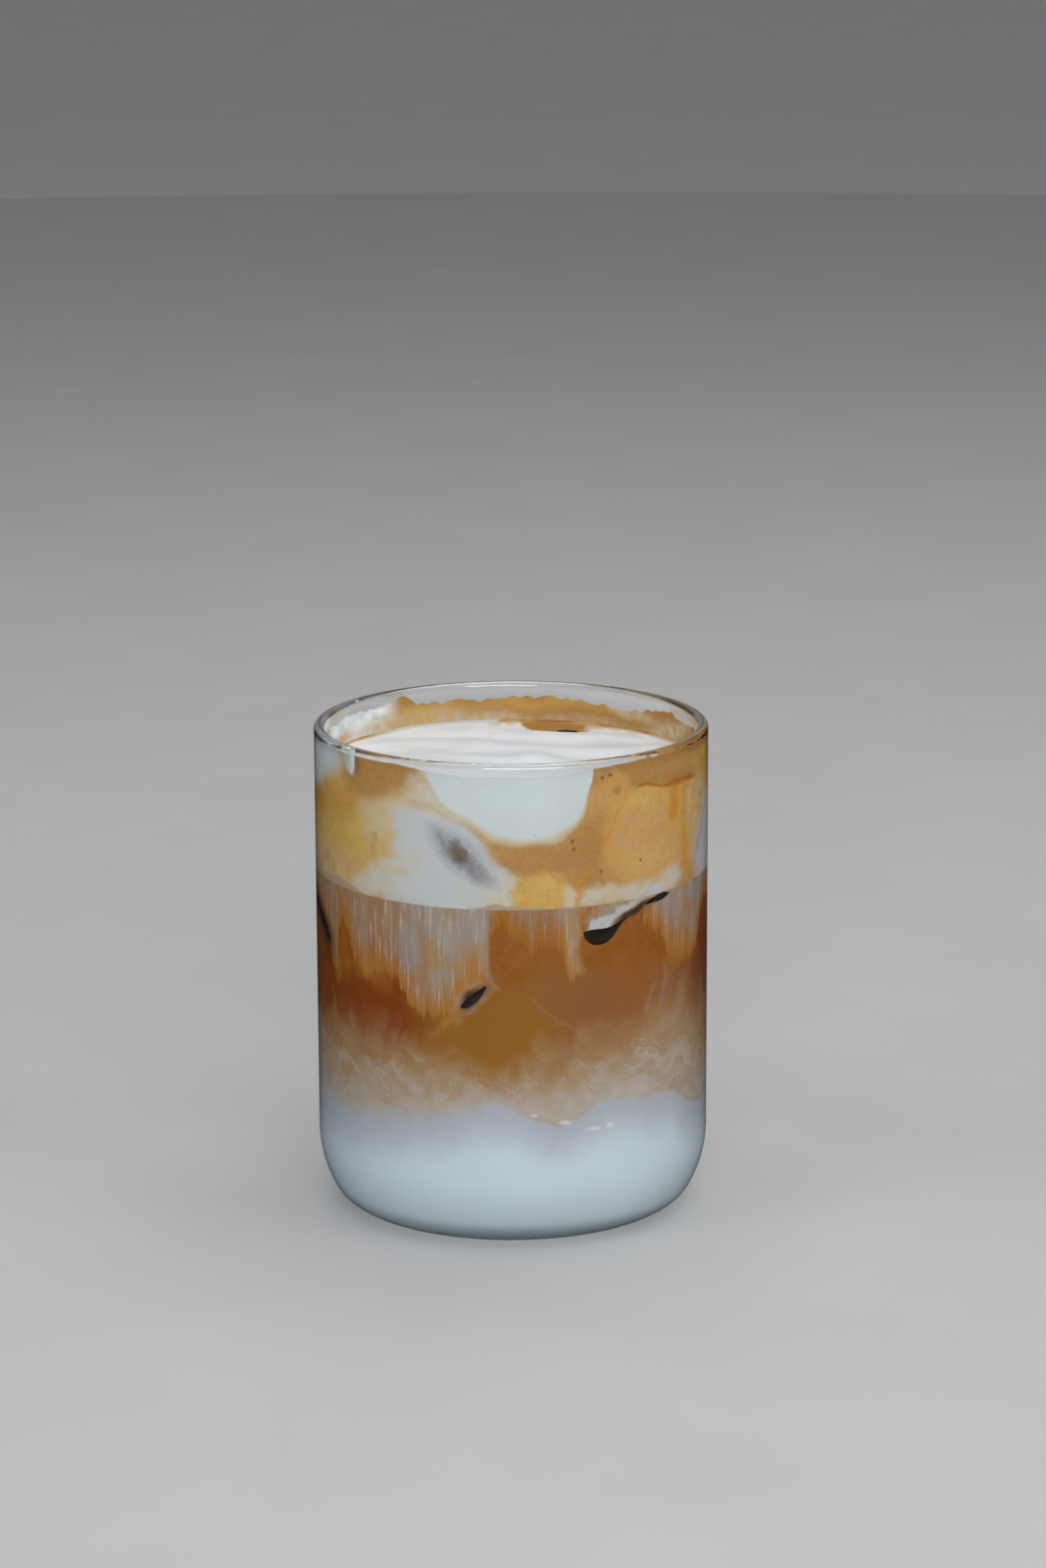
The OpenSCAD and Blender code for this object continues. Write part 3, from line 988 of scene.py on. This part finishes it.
def built(name: str, points: np.ndarray, faces: list[tuple[int, ...]], material: bpy.types.Material,
          smooth: bool = True) -> bpy.types.Object:
    """Makes a mesh object.

    Args:
        name: the piece's name.
        points: its points, in mm.
        faces: its faces.
        material: its material.
        smooth: whether it is shaded smooth.

    Returns:
        The object.
    """
    mesh = bpy.data.meshes.new(name)
    mesh.from_pydata((points * MM).tolist(), [], faces)
    mesh.materials.append(material)
    mesh.polygons.foreach_set("use_smooth", [smooth] * len(mesh.polygons))
    mesh.set_sharp_from_angle(angle=math.radians(SHARP_EDGE))
    mesh.update()
    piece = bpy.data.objects.new(name, mesh)
    bpy.context.scene.collection.objects.link(piece)
    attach(piece, ROOT)
    LOG.info("%s: %d faces", name, len(mesh.polygons))
    return piece


def ring(radius: float, count: int, height: Callable[[float, float], float] | float) -> np.ndarray:
    """A ring of points round the axis.

    Args:
        radius: its radius, in mm.
        count: how many points it has.
        height: its height, or a function of x and y that gives it.

    Returns:
        The points, one to a row.
    """
    turns = np.arange(count) * 2 * math.pi / count
    x, y = radius * np.cos(turns), radius * np.sin(turns)
    z = [height(a, b) for a, b in zip(x, y)] if callable(height) else np.full(count, float(height))
    return np.stack([x, y, np.asarray(z)], axis=1)


def closed_skin(low: Sequence[float], rings: Rings, high: Sequence[float]) -> tuple[np.ndarray, list[tuple[int, ...]]]:
    """A closed skin over rings, from a low centre out, up and back to a high centre.

    Args:
        low: the low centre.
        rings: the rings in order.
        high: the high centre.

    Returns:
        The points and the faces.
    """
    count, last = len(rings[0]), (len(rings) - 1) * len(rings[0])
    points = np.vstack([*rings, [low], [high]])
    floor, crown = len(points) - 2, len(points) - 1
    faces: list[tuple[int, ...]] = []
    for k in range(count):
        j = (k + 1) % count
        faces.append((floor, j, k))
        faces.append((crown, last + k, last + j))
        for i in range(len(rings) - 1):
            here, above = i * count, (i + 1) * count
            faces.append((here + k, here + j, above + j, above + k))
    return points, faces


@dataclass
class Corner:
    """A round body's bottom corner: a wide arc down the side, then a tight arc to the base."""

    wide: float
    tall: float
    tight: float
    steps: int = 14

    def path(self, radius: float, lift: float) -> list[Point]:
        """Points from the base up to the side.

        Args:
            radius: the body's radius, in mm.
            lift: the height of its base.

        Returns:
            Pairs of distance from the axis and height.
        """
        arc = (self.wide**2 + (self.tall - self.tight) ** 2 - self.tight**2) / (2 * (self.wide - self.tight))
        arc_at, tight_at = (radius - arc, self.tall), (radius - self.wide, self.tight)
        join = math.atan2(tight_at[1] - arc_at[1], tight_at[0] - arc_at[0])
        points = []
        for centre, size, start, end in ((tight_at, self.tight, -math.pi / 2, join), (arc_at, arc, join, 0.0)):
            for i in range(self.steps + 1):
                turn = start + (end - start) * i / self.steps
                points.append((centre[0] + size * math.cos(turn), lift + centre[1] + size * math.sin(turn)))
        del points[self.steps]
        return points


@dataclass
class Tumbler:
    """The glass, sized from its CAD node."""

    wall: float = 2.2
    base: float = 3.0
    shave: float = 0.01
    corner: Corner = field(default_factory=lambda: Corner(9.5, 15.5, 7.5))
    segments: int = 256
    rim_steps: int = 14

    def __post_init__(self) -> None:
        """Reads the outside from the frame."""
        low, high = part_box("glass")
        self.radius = (high.x - low.x) / 2 / MM - self.shave
        self.height = high.z / MM
        self.cavity = self.radius - self.wall
        self.inner_corner = Corner(self.corner.wide - self.wall, self.corner.tall - self.base,
                                   self.corner.tight - self.wall)

    def build(self) -> bpy.types.Object:
        """Turns the glass and gives it its finish."""
        outside = self.corner.path(self.radius, 0.0)
        inside = self.inner_corner.path(self.cavity, self.base)
        round_at = (self.radius - self.wall / 2, self.height - self.wall / 2)
        rim = [(round_at[0] + self.wall / 2 * math.cos(t), round_at[1] + self.wall / 2 * math.sin(t))
               for t in np.linspace(0, math.pi, self.rim_steps)]
        climb = [(self.radius, z) for z in np.linspace(self.corner.tall + 6, self.height - 6, 6)]
        drop = [(self.cavity, z) for z in np.linspace(self.height - 6, self.corner.tall + 6, 6)]
        outline = [(p[0], p[1]) for p in (*outside, *climb, *rim, *drop, *reversed(inside))]
        rings = [ring(r, self.segments, z) for r, z in outline]
        points, faces = closed_skin((0, 0, 0), rings, (0, 0, self.base))
        piece = built("tumbler", points, faces, GlassLook().material())
        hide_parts("glass")
        return piece


@dataclass
class Drink:
    """The three layers, which reach just into the glass wall."""

    tumbler: Tumbler
    bite: float = 0.12
    segments: int = 240
    fold_depth: float = 0.45
    fold_pitch: float = 13.0
    fold_bend: float = 4.0
    peak_height: float = 1.2
    peak_spread: float = 5.0
    peak_at: Point = (5.0, 6.0)
    wet_rise: float = 1.2
    wet_width: float = 2.4

    def __post_init__(self) -> None:
        """Reads the layers' heights from the frame."""
        self.edge = self.tumbler.cavity + self.bite
        self.foam_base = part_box("foam")[0].z / MM
        self.foam_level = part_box("foam")[1].z / MM - self.wet_rise
        self.milk_low, self.milk_high = (corner.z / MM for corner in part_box("milk"))
        self.swell = 4.0
        self.swell_length = 52.0
        self.milk_level = 26.0

    def milk_top(self, x: float, y: float) -> float:
        """Height of the boundary between milk and coffee, in mm."""
        wave = math.sin(2 * math.pi * (x + 3) / self.swell_length) * math.cos(math.radians(200 * y / self.swell_length))
        return self.milk_level + self.swell * (0.55 * wave - 0.45 * y / self.tumbler.cavity)

    def foam_top(self, x: float, y: float) -> float:
        """Height of the foam's open surface, in mm: folds, a small peak and a wet edge."""
        cavity = self.tumbler.cavity
        r = math.hypot(x, y)
        bend = self.fold_bend * math.sin(math.pi * x / cavity)
        fold = self.fold_depth * math.sin(2 * math.pi * (y + bend) / self.fold_pitch)
        off = (x - self.peak_at[0]) ** 2 + (y - self.peak_at[1]) ** 2
        peak = self.peak_height * math.exp(-off / self.peak_spread**2)
        calm = min(1.0, max(0.0, (cavity - r) / (2 * self.wet_width)))
        wet = self.wet_rise * (max(0.0, min(r, cavity) - cavity + self.wet_width) / self.wet_width) ** 2
        return self.foam_level + calm * (fold + peak) + wet

    def milk(self) -> bpy.types.Object:
        """The milk at the bottom."""
        corner = self.tumbler.inner_corner
        wall = [ring(r + self.bite, self.segments, z - self.bite) for r, z in corner.path(self.tumbler.cavity, self.milk_low)]
        tops = [ring(r, self.segments, self.milk_top) for r in np.linspace(self.edge, 3.0, 14)]
        points, faces = closed_skin((0, 0, self.milk_low - self.bite), wall + tops, (0, 0, self.milk_top(0, 0)))
        piece = built("milk_layer", points, faces, LatteLook("milk_under_coffee", self.foam_base).material(self.edge))
        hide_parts("milk")
        return piece

    def coffee(self) -> bpy.types.Object:
        """The coffee in the middle."""
        under = [ring(r, self.segments, self.milk_top) for r in np.linspace(3.0, self.edge, 14)]
        over = [ring(self.edge, self.segments, self.foam_base)]
        points, faces = closed_skin((0, 0, self.milk_top(0, 0)), under + over, (0, 0, self.foam_base))
        piece = built("coffee_layer", points, faces, LatteLook("coffee_and_veil", self.foam_base).material(self.edge))
        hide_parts("coffee")
        return piece

    def foam(self) -> bpy.types.Object:
        """The foam on top."""
        wet = list(np.linspace(self.edge, self.edge - self.wet_width, 8))
        inner = list(np.linspace(self.edge - self.wet_width, 0.6, 64))[1:]
        rings = [ring(self.edge, self.segments, self.foam_base)]
        rings += [ring(r, self.segments, self.foam_top) for r in wet + inner]
        points, faces = closed_skin((0, 0, self.foam_base), rings, (0, 0, self.foam_top(0, 0)))
        piece = built("foam_layer", points, faces, FoamLook().material(self.edge))
        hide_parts("foam")
        return piece


@dataclass
class CremaFilm:
    """The film of crema and foam that clings to the wall above the surface."""

    drink: Drink
    thick: float = 0.35
    segments: int = 720

    WAVES: tuple[int, ...] = (9, 14, 23, 37, 58, 83)
    HEIGHTS: tuple[Point, ...] = (
        (-180, 96.8), (-172, 96.5), (-157, 96.1), (-148, 96.6), (-144, 98.6), (-139, 98.2), (-134, 96.9),
        (-121, 97.4), (-110, 96.4), (-90, 97.4), (-70, 98.2), (-35, 98.3), (-22, 97.5), (-15, 97.1),
        (15, 97.2), (24, 98.0), (34, 98.4), (60, 98.5), (84, 98.0), (96, 97.0), (108, 96.6), (122, 97.1),
        (132, 96.4), (140, 95.5), (153, 96.0), (158, 96.7), (180, 96.8))

    def top(self, turn: float, ripple: float) -> float:
        """Height of the film's upper edge, in mm.

        Args:
            turn: degrees round from the front, to the right.
            ripple: a small unevenness, in mm.

        Returns:
            The height.
        """
        turns, heights = zip(*self.HEIGHTS)
        return float(np.interp(turn, turns, heights)) + ripple

    def build(self) -> bpy.types.Object:
        """Builds the film as a thin closed band."""
        drink, count = self.drink, self.segments
        outer, low = drink.edge, drink.foam_level - 0.6
        rows: list[list[Point]] = []
        rng = np.random.default_rng(11)
        phases = rng.uniform(0, 2 * math.pi, 6)
        for k in range(count):
            turn = -180 + 360 * k / count
            waves = sum(math.sin(math.radians(turn) * n + p) for n, p in zip(self.WAVES, phases))
            behind = min(1.0, max(0.0, (abs(turn) - 70) / 40))
            high = self.top(turn, waves * (0.02 + 0.11 * behind))
            inside = outer - self.thick
            rows.append([(outer, low), (outer, high - 0.3), (outer, high), (outer - 0.14, high + 0.02),
                         (inside + 0.1, high - 0.25), (inside, high - 0.7), (inside, (high + low) / 2), (inside, low)])
        points, faces = [], []
        across = len(rows[0])
        for k, row in enumerate(rows):
            turn = math.radians(-180 + 360 * k / count)
            points += [(r * math.sin(turn), -r * math.cos(turn), z) for r, z in row]
            nxt = (k + 1) % count
            for i in range(across):
                j = (i + 1) % across
                faces.append((k * across + i, nxt * across + i, nxt * across + j, k * across + j))
        piece = built("crema_film", np.array(points), faces, FilmLook().material(drink.edge))
        return piece


@dataclass
class IceEdge:
    """An edge of an ice cube that reaches the glass: a bevelled bar along a line on the wall."""

    name: str
    spine: tuple[tuple[float, float, float], ...]
    radius: float
    proud: float = 0.07
    deep: float = 2.4
    stations: int = 40

    def build(self, material: bpy.types.Material) -> bpy.types.Object:
        """Lofts the bar along its spine of places across, up and half widths.

        Args:
            material: its finish.

        Returns:
            The piece.
        """
        spine = np.array(self.spine)
        steps = np.linspace(0, 1, len(spine))
        wanted = np.linspace(0, 1, self.stations)
        line = np.stack([np.interp(wanted, steps, spine[:, n]) for n in range(3)], axis=1)
        for _ in range(3):
            line[1:-1] = (line[:-2] + 2 * line[1:-1] + line[2:]) / 4
        slope = np.gradient(line[:, :2], axis=0)
        slope /= np.linalg.norm(slope, axis=1)[:, None]
        profile = ((-1.0, -self.deep), (-1.0, -0.25), (-0.85, 0.0), (-0.4, self.proud), (0.4, self.proud),
                   (0.85, 0.0), (1.0, -0.25), (1.0, -self.deep))
        rings = []
        for (s, z, half), (along, climb) in zip(line, slope):
            row = []
            for out, lift in profile:
                across, up = s - climb * out * half, z + along * out * half
                turn, r = across / self.radius, self.radius + lift
                row.append((r * math.sin(turn), -r * math.cos(turn), up))
            rings.append(np.array(row))
        points, faces = closed_skin(rings[0].mean(axis=0), rings, rings[-1].mean(axis=0))
        return built(self.name, points, faces, material)

    def lens(self, material: bpy.types.Material, at: tuple[float, float, float],
             half: tuple[float, float, float]) -> bpy.types.Object:
        """Makes a corner of ice that breaks the surface, as a low rounded lens.

        Args:
            material: its finish.
            at: its centre, in mm.
            half: its half sizes, in mm.

        Returns:
            The piece.
        """
        rows, count = 7, 20
        rings = []
        for tilt in np.linspace(-math.pi / 2, math.pi / 2, rows + 2)[1:-1]:
            turns = np.arange(count) * 2 * math.pi / count
            out = math.cos(tilt) * (1 + 0.12 * np.cos(3 * turns))
            rings.append(np.stack([at[0] + half[0] * out * np.cos(turns), at[1] + half[1] * out * np.sin(turns),
                                   np.full(count, at[2] + half[2] * math.sin(tilt))], axis=1))
        top, bottom = (at[0], at[1], at[2] + half[2]), (at[0], at[1], at[2] - half[2])
        points, faces = closed_skin(bottom, rings, top)
        return built(self.name, points, faces, material)


ICE_EDGES = {
    "ice_right": ((14.2, 65.2, 0.2), (15.2, 64.6, 1.3), (16.6, 64.0, 1.95), (18.2, 63.9, 1.9), (19.8, 64.4, 1.5),
                  (21.2, 65.4, 0.8), (22.6, 66.4, 0.35), (23.8, 67.0, 0.15)),
    "ice_far_right": ((28.4, 68.9, 0.15), (30, 69.3, 0.5), (32, 69.6, 0.85), (33.8, 69.8, 0.8), (35.4, 69.9, 0.25)),
    "ice_middle": ((-10.0, 50.4, 0.3), (-9.0, 50.9, 0.8), (-7.4, 52.2, 1.0), (-6.0, 53.7, 0.7), (-5.0, 54.9, 0.25)),
    "ice_left": ((-56.5, 64.9, 0.6), (-53.5, 63.6, 1.0), (-50.5, 62.0, 1.25), (-48, 60.4, 1.2), (-46.2, 58.9, 0.9),
                 (-45.3, 57.6, 0.3)),
}


@dataclass
class Drip:
    """A run of milk over the rim and down the outside of the glass, on the left."""

    tumbler: Tumbler
    turn: float = -52.0
    path: tuple[tuple[float, float, float], ...] = (
        (99.7, 0.9, 0.10), (99.2, 1.0, 0.20), (98.3, 1.0, 0.24), (97.2, 0.95, 0.26), (96.2, 0.75, 0.28),
        (95.4, 0.5, 0.26), (94.8, 0.15, 0.10))
    stations: int = 24
    sides: int = 12

    def build(self) -> bpy.types.Object:
        """Lofts the run down over the rim: heights, half widths and thicknesses in mm."""
        glass = self.tumbler
        path = np.array(self.path)
        steps = np.linspace(0, 1, len(path))
        line = np.stack([np.interp(np.linspace(0, 1, self.stations), steps, path[:, n]) for n in range(3)], axis=1)
        round_at, round_r = glass.height - glass.wall / 2, glass.wall / 2
        rings = []
        for z, half, thick in line:
            bend = math.asin(min(1.0, max(0.0, (z - round_at) / round_r)))
            skin = glass.radius - round_r * (1 - math.cos(bend))
            row = []
            for side in range(self.sides):
                angle = 2 * math.pi * side / self.sides
                lift = thick * max(0.0, math.sin(angle)) - 0.04
                turn = math.radians(self.turn) + half * math.cos(angle) / glass.radius
                r = skin + lift * math.cos(bend)
                row.append((r * math.sin(turn), -r * math.cos(turn), min(z + lift * math.sin(bend), glass.height)))
            rings.append(np.array(row))
        points, faces = closed_skin(rings[0].mean(axis=0), rings, rings[-1].mean(axis=0))
        tree = Tree("milk_drip")
        place = tree.scaled(tree.add("ShaderNodeTexCoord").outputs["Object"], (1 / MM, 1 / MM, 1 / MM))
        colour = tree.mix(tree.cloud(place, 1.5).ease(0.4, 0.6) * 0.4, Tone.FOAM_WHITE, Tone.CREAM)
        tree.surface({"Base Color": colour, "Roughness": 0.3})
        return built("milk_drip", points, faces, tree.material)


@dataclass
class Studio:
    """The floor, the soft lights and the camera."""

    eye: Vector = field(default_factory=lambda: Vector((2.39, -896.95, 299.81)) * MM)
    pitch: float = 13.36
    roll: float = -0.23
    lens: float = 103.96

    def camera(self) -> None:
        """Sets the camera in front of the glass, looking slightly down."""
        data = bpy.data.cameras.new("camera")
        data.sensor_fit = "AUTO"
        data.sensor_width = 36.0
        data.lens = self.lens
        data.clip_start = 0.05
        camera = bpy.data.objects.new("camera", data)
        pitch, roll = math.radians(self.pitch), math.radians(self.roll)
        ahead = Vector((0, math.cos(pitch), -math.sin(pitch)))
        level = Vector((1, 0, 0))
        upright = level.cross(ahead)
        right = level * math.cos(roll) + upright * math.sin(roll)
        up = upright * math.cos(roll) - level * math.sin(roll)
        turn = Matrix((right, up, -ahead)).transposed()
        camera.matrix_world = Matrix.Translation(self.eye) @ turn.to_4x4()
        bpy.context.scene.collection.objects.link(camera)
        bpy.context.scene.camera = camera

    @staticmethod
    def floor() -> bpy.types.Object:
        """A pale floor with a faint mottle."""
        tree = Tree("pale_floor")
        place = tree.add("ShaderNodeTexCoord").outputs["Object"]
        mottle = tree.cloud(place, 0.05, 4.0)
        colour = tree.mix(mottle, (0.68, 0.68, 0.68, 1.0), (0.75, 0.75, 0.75, 1.0))
        tree.surface({"Base Color": colour, "Roughness": 0.7})
        mesh = bpy.data.meshes.new("floor")
        mesh.from_pydata([(-6, -6, 0), (6, -6, 0), (6, 6, 0), (-6, 6, 0)], [], [(0, 1, 2, 3)])
        mesh.materials.append(tree.material)
        floor = bpy.data.objects.new("floor", mesh)
        floor.location.z = -0.0002
        bpy.context.scene.collection.objects.link(floor)
        return floor

    @staticmethod
    def lamp(name: str, at: Point | tuple[float, float, float], aim: tuple[float, float, float],
             size: Point, power: float, tint: tuple[float, float, float] = (1, 1, 1)) -> None:
        """Hangs a soft rectangular light.

        Args:
            name: its name.
            at: where it is, in metres.
            aim: the point that it faces.
            size: its width and height.
            power: its strength in watts.
            tint: its colour.
        """
        data = bpy.data.lights.new(name, "AREA")
        data.shape = "RECTANGLE"
        data.size, data.size_y = size
        data.energy = power
        data.color = tint
        light = bpy.data.objects.new(name, data)
        light.location = at
        light.rotation_euler = (Vector(aim) - Vector(at)).to_track_quat("-Z", "Y").to_euler()
        bpy.context.scene.collection.objects.link(light)

    @staticmethod
    def cloth(name: str, points: Sequence[tuple[float, float, float]], faces: list[tuple[int, ...]],
              refracts: bool) -> None:
        """Hangs or lays a dark cloth that only the glass sees.

        Args:
            name: its name.
            points: its corners, in metres.
            faces: its faces.
            refracts: whether it is seen through the glass, and not only in reflections.
        """
        tree = Tree(name)
        weave = tree.cloud(tree.add("ShaderNodeTexCoord").outputs["Object"], 0.01)
        tree.surface({"Base Color": tree.mix(weave, (0.010, 0.010, 0.012, 1.0), (0.016, 0.016, 0.018, 1.0)),
                      "Roughness": 1.0, "Specular IOR Level": 0.0})
        mesh = bpy.data.meshes.new(name)
        mesh.from_pydata(points, [], faces)
        mesh.materials.append(tree.material)
        cloth = bpy.data.objects.new(name, mesh)
        cloth.visible_camera = cloth.visible_diffuse = cloth.visible_shadow = False
        cloth.visible_transmission = refracts
        bpy.context.scene.collection.objects.link(cloth)

    def cloths(self) -> None:
        """A dark ring on the floor round the glass, and a dark flag on each side."""
        count, lift = 96, 0.0004
        rings = [[(r * math.cos(2 * math.pi * k / count), r * math.sin(2 * math.pi * k / count), lift)
                  for k in range(count)] for r in (0.020, 2.0)]
        faces = [(k, (k + 1) % count, count + (k + 1) % count, count + k) for k in range(count)]
        self.cloth("floor_cloth", rings[0] + rings[1], faces, False)
        for side, name in ((-1, "left_flag"), (1, "right_flag")):
            x = 0.30 * side
            self.cloth(name, [(x, -0.5, 0), (x, 0.7, 0), (x, 0.7, 0.45), (x, -0.5, 0.45)], [(0, 1, 2, 3)], True)

    def lights(self) -> None:
        """A soft box overhead, one in front and a weak fill."""
        self.lamp("overhead", (0.1, 0.2, 1.1), (0, 0, 0.08), (0.9, 0.9), 4.2)
        self.lamp("front", (0.15, -1.1, 0.6), (0, 0, 0.05), (1.0, 0.4), 5.1, (1.0, 0.98, 0.96))
        self.lamp("fill", (-1.0, -0.5, 0.4), (0, 0, 0.05), (0.6, 0.6), 2.4, (0.95, 0.97, 1.0))
        self.lamp("fill_right", (1.0, -0.5, 0.4), (0, 0, 0.05), (0.6, 0.6), 2.5, (1.0, 0.98, 0.97))
        self.cloths()
        world = bpy.data.worlds.new("studio")
        world.use_nodes = True
        world.node_tree.nodes["Background"].inputs[0].default_value = (0.80, 0.82, 0.85, 1.0)
        world.node_tree.nodes["Background"].inputs[1].default_value = 0.26
        bpy.context.scene.world = world

    def set_up(self) -> None:
        """Builds the whole studio."""
        self.floor()
        self.lights()
        self.camera()
        bpy.context.scene.view_settings.view_transform = "Standard"


def main() -> None:
    """Builds the drink piece by piece."""
    logging.basicConfig(level=logging.INFO, format="%(message)s")
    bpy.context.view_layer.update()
    tumbler = Tumbler()
    drink = Drink(tumbler)
    Studio().set_up()
    tumbler.build()
    drink.milk()
    drink.coffee()
    drink.foam()
    CremaFilm(drink).build()
    ice = IceLook().material()
    for name, spine in ICE_EDGES.items():
        IceEdge(name, spine, drink.edge).build(ice)
    IceEdge("ice_on_top", (), 0.0).lens(ice, (11.4, 28.9, drink.foam_top(11.4, 28.9)), (2.3, 0.9, 0.5))
    Drip(tumbler).build()


if __name__ == "__main__":
    main()
